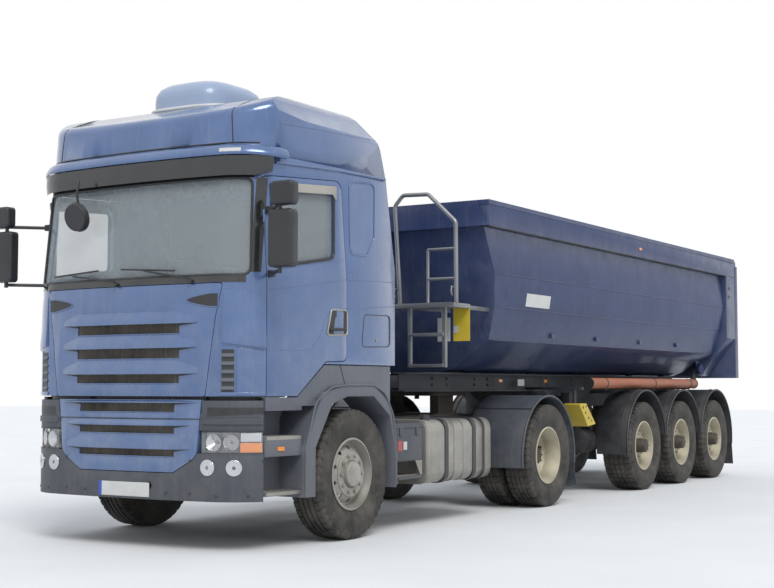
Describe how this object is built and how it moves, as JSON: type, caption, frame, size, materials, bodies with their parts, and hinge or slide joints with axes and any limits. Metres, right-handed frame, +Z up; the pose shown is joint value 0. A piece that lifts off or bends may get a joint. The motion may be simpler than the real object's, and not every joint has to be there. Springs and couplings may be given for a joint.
{
  "type": "articulated tipping lorry",
  "caption": "Two-axle sleeper tractor with a three-axle steel tipping semi-trailer, with opening doors, tilting cab and a lifting body.",
  "frame": {"origin": "on the ground under the middle of the whole vehicle", "axes": "+X towards the vehicle's left side, -Y forwards, +Z up"},
  "size_m": [3.14, 11.54, 3.815],
  "materials": {
    "cab_paint": "gloss",
    "chassis_paint": "satin",
    "body_paint": "satin",
    "grey_panel": "satin",
    "dark_plastic": "matt",
    "rim_paint": "satin",
    "tyre_rubber": "matt",
    "tank_aluminium": "brushed",
    "forged_steel": "matt",
    "clear_glass": "gloss",
    "lamp_lens": "gloss",
    "cylinder_steel": "polished",
    "seat_cloth": "matt",
    "stowage_tube": "matt",
    "white_cooler": "gloss"
  },
  "bodies": {
    "tractor": {"tractor_frame": "chassis_paint", "tractor_axles": "forged_steel", "engine": "forged_steel", "fifth_wheel": "forged_steel", "fuel_tanks": "tank_aluminium", "side_boxes": "dark_plastic", "drive_mudguards": "dark_plastic", "lower_grille": "cab_paint", "bumper": "grey_panel", "headlamps": "lamp_lens", "front_arches": "grey_panel"},
    "cab": {"cab_shell": "cab_paint", "cab_roof": "cab_paint", "windscreen": "clear_glass", "sun_visor": "dark_plastic", "roof_cooler": "white_cooler", "dashboard": "dark_plastic", "seats": "seat_cloth"},
    "flap": {"front_flap": "cab_paint"},
    "trailer": {"trailer_frame": "body_paint", "trailer_axles": "forged_steel", "trailer_mudguards": "dark_plastic", "stowage": "stowage_tube"},
    "tipper": {"tipper_body": "body_paint", "access_platform": "body_paint"},
    "gate": {"tailgate": "body_paint"},
    "steering_rod": {"tie_rod": "forged_steel"},
    "ram_tube_0": {"ram_barrel": "cylinder_steel"},
    "ram_tube_1": {"ram_stage_1": "cylinder_steel"},
    "ram_tube_2": {"ram_stage_2": "cylinder_steel"},
    "ram_tube_3": {"ram_stage_3": "cylinder_steel"},
    "ram_tube_4": {"ram_stage_4": "cylinder_steel"},
    "left_door": {"door_left": "cab_paint", "door_glass_left": "clear_glass", "mirrors_left": "dark_plastic"},
    "left_knuckle": {"knuckle_left": "forged_steel"},
    "left_front_wheel": {"tyre_front_left": "tyre_rubber", "rim_front_left": "rim_paint"},
    "left_drive_wheels": {"tyre_drive_left": "tyre_rubber", "rim_drive_left": "rim_paint"},
    "left_trailer_wheel_1": {"tyre_trailer_1_left": "tyre_rubber", "rim_trailer_1_left": "rim_paint"},
    "left_trailer_wheel_2": {"tyre_trailer_2_left": "tyre_rubber", "rim_trailer_2_left": "rim_paint"},
    "left_trailer_wheel_3": {"tyre_trailer_3_left": "tyre_rubber", "rim_trailer_3_left": "rim_paint"},
    "right_door": {"door_right": "cab_paint", "door_glass_right": "clear_glass", "mirrors_right": "dark_plastic"},
    "right_knuckle": {"knuckle_right": "forged_steel"},
    "right_front_wheel": {"tyre_front_right": "tyre_rubber", "rim_front_right": "rim_paint"},
    "right_drive_wheels": {"tyre_drive_right": "tyre_rubber", "rim_drive_right": "rim_paint"},
    "right_trailer_wheel_1": {"tyre_trailer_1_right": "tyre_rubber", "rim_trailer_1_right": "rim_paint"},
    "right_trailer_wheel_2": {"tyre_trailer_2_right": "tyre_rubber", "rim_trailer_2_right": "rim_paint"},
    "right_trailer_wheel_3": {"tyre_trailer_3_right": "tyre_rubber", "rim_trailer_3_right": "rim_paint"}
  },
  "joints": [
    {"name": "cab_tilt", "type": "hinge", "parent": "tractor", "child": "cab", "pos_m": [0, -5.57, 0.95], "axis": [1, 0, 0], "range_deg": [0, 60]},
    {"name": "flap_lift", "type": "hinge", "parent": "cab", "child": "flap", "pos_m": [0, -5.66, 2.033], "axis": [-1, 0, 0], "range_deg": [0, 80]},
    {"name": "left_door_hinge", "type": "hinge", "parent": "cab", "child": "left_door", "pos_m": [1.163, -5.39, 1.2], "axis": [0, 0, -1], "range_deg": [0, 70]},
    {"name": "left_steer", "type": "hinge", "parent": "tractor", "child": "left_knuckle", "pos_m": [0.93, -4.22, 0.533], "axis": [0, 0, 1], "range_deg": [-40, 40]},
    {"name": "left_front_spin", "type": "hinge", "parent": "left_knuckle", "child": "left_front_wheel", "pos_m": [1.065, -4.22, 0.533], "axis": [1, 0, 0], "continuous": true},
    {"name": "left_drive_spin", "type": "hinge", "parent": "tractor", "child": "left_drive_wheels", "pos_m": [0.926, -0.52, 0.533], "axis": [1, 0, 0], "continuous": true},
    {"name": "left_trailer_spin_1", "type": "hinge", "parent": "trailer", "child": "left_trailer_wheel_1", "pos_m": [1.036, 2.28, 0.533], "axis": [1, 0, 0], "continuous": true},
    {"name": "left_trailer_spin_2", "type": "hinge", "parent": "trailer", "child": "left_trailer_wheel_2", "pos_m": [1.036, 3.59, 0.533], "axis": [1, 0, 0], "continuous": true},
    {"name": "left_trailer_spin_3", "type": "hinge", "parent": "trailer", "child": "left_trailer_wheel_3", "pos_m": [1.036, 4.9, 0.533], "axis": [1, 0, 0], "continuous": true},
    {"name": "right_door_hinge", "type": "hinge", "parent": "cab", "child": "right_door", "pos_m": [-1.163, -5.39, 1.2], "axis": [0, 0, 1], "range_deg": [0, 70]},
    {"name": "right_steer", "type": "hinge", "parent": "tractor", "child": "right_knuckle", "pos_m": [-0.93, -4.22, 0.533], "axis": [0, 0, 1], "range_deg": [-40, 40]},
    {"name": "right_front_spin", "type": "hinge", "parent": "right_knuckle", "child": "right_front_wheel", "pos_m": [-1.065, -4.22, 0.533], "axis": [1, 0, 0], "continuous": true},
    {"name": "right_drive_spin", "type": "hinge", "parent": "tractor", "child": "right_drive_wheels", "pos_m": [-0.926, -0.52, 0.533], "axis": [1, 0, 0], "continuous": true},
    {"name": "right_trailer_spin_1", "type": "hinge", "parent": "trailer", "child": "right_trailer_wheel_1", "pos_m": [-1.036, 2.28, 0.533], "axis": [1, 0, 0], "continuous": true},
    {"name": "right_trailer_spin_2", "type": "hinge", "parent": "trailer", "child": "right_trailer_wheel_2", "pos_m": [-1.036, 3.59, 0.533], "axis": [1, 0, 0], "continuous": true},
    {"name": "right_trailer_spin_3", "type": "hinge", "parent": "trailer", "child": "right_trailer_wheel_3", "pos_m": [-1.036, 4.9, 0.533], "axis": [1, 0, 0], "continuous": true},
    {"name": "steering_rod_swing", "type": "hinge", "parent": "left_knuckle", "child": "steering_rod", "pos_m": [0.93, -4.02, 0.433], "axis": [0, 0, 1], "range_deg": [-40, 40]},
    {"name": "coupling_turn", "type": "hinge", "parent": "tractor", "child": "trailer", "pos_m": [0, -1.16, 1.2], "axis": [0, 0, 1], "range_deg": [-90, 90]},
    {"name": "body_tip", "type": "hinge", "parent": "trailer", "child": "tipper", "pos_m": [0, 5.18, 1.49], "axis": [-1, 0, 0], "range_deg": [0, 45]},
    {"name": "gate_swing", "type": "hinge", "parent": "tipper", "child": "gate", "pos_m": [0, 5.706, 3.01], "axis": [1, 0, 0], "range_deg": [0, 60]},
    {"name": "ram_lean", "type": "hinge", "parent": "trailer", "child": "ram_tube_0", "pos_m": [0, -2.14, 1.15], "axis": [-1, 0, 0], "range_deg": [0, 25.3]},
    {"name": "ram_slide_1", "type": "slide", "parent": "ram_tube_0", "child": "ram_tube_1", "axis": [0, 0, 1], "range_m": [0, 1.38]},
    {"name": "ram_slide_2", "type": "slide", "parent": "ram_tube_1", "child": "ram_tube_2", "axis": [0, 0, 1], "range_m": [0, 1.38]},
    {"name": "ram_slide_3", "type": "slide", "parent": "ram_tube_2", "child": "ram_tube_3", "axis": [0, 0, 1], "range_m": [0, 1.38]},
    {"name": "ram_slide_4", "type": "slide", "parent": "ram_tube_3", "child": "ram_tube_4", "axis": [0, 0, 1], "range_m": [0, 1.38]}
  ],
  "couplings": [
    {"joint": "right_steer", "follows": "left_steer", "ratio": 1},
    {"joint": "steering_rod_swing", "follows": "left_steer", "ratio": -1},
    {"joint": "ram_lean", "follows": "body_tip", "ratio": 0.56},
    {"joint": "ram_slide_1", "follows": "body_tip", "m_per_rad": 1.748},
    {"joint": "ram_slide_2", "follows": "body_tip", "m_per_rad": 1.748},
    {"joint": "ram_slide_3", "follows": "body_tip", "m_per_rad": 1.748},
    {"joint": "ram_slide_4", "follows": "body_tip", "m_per_rad": 1.748}
  ]
}
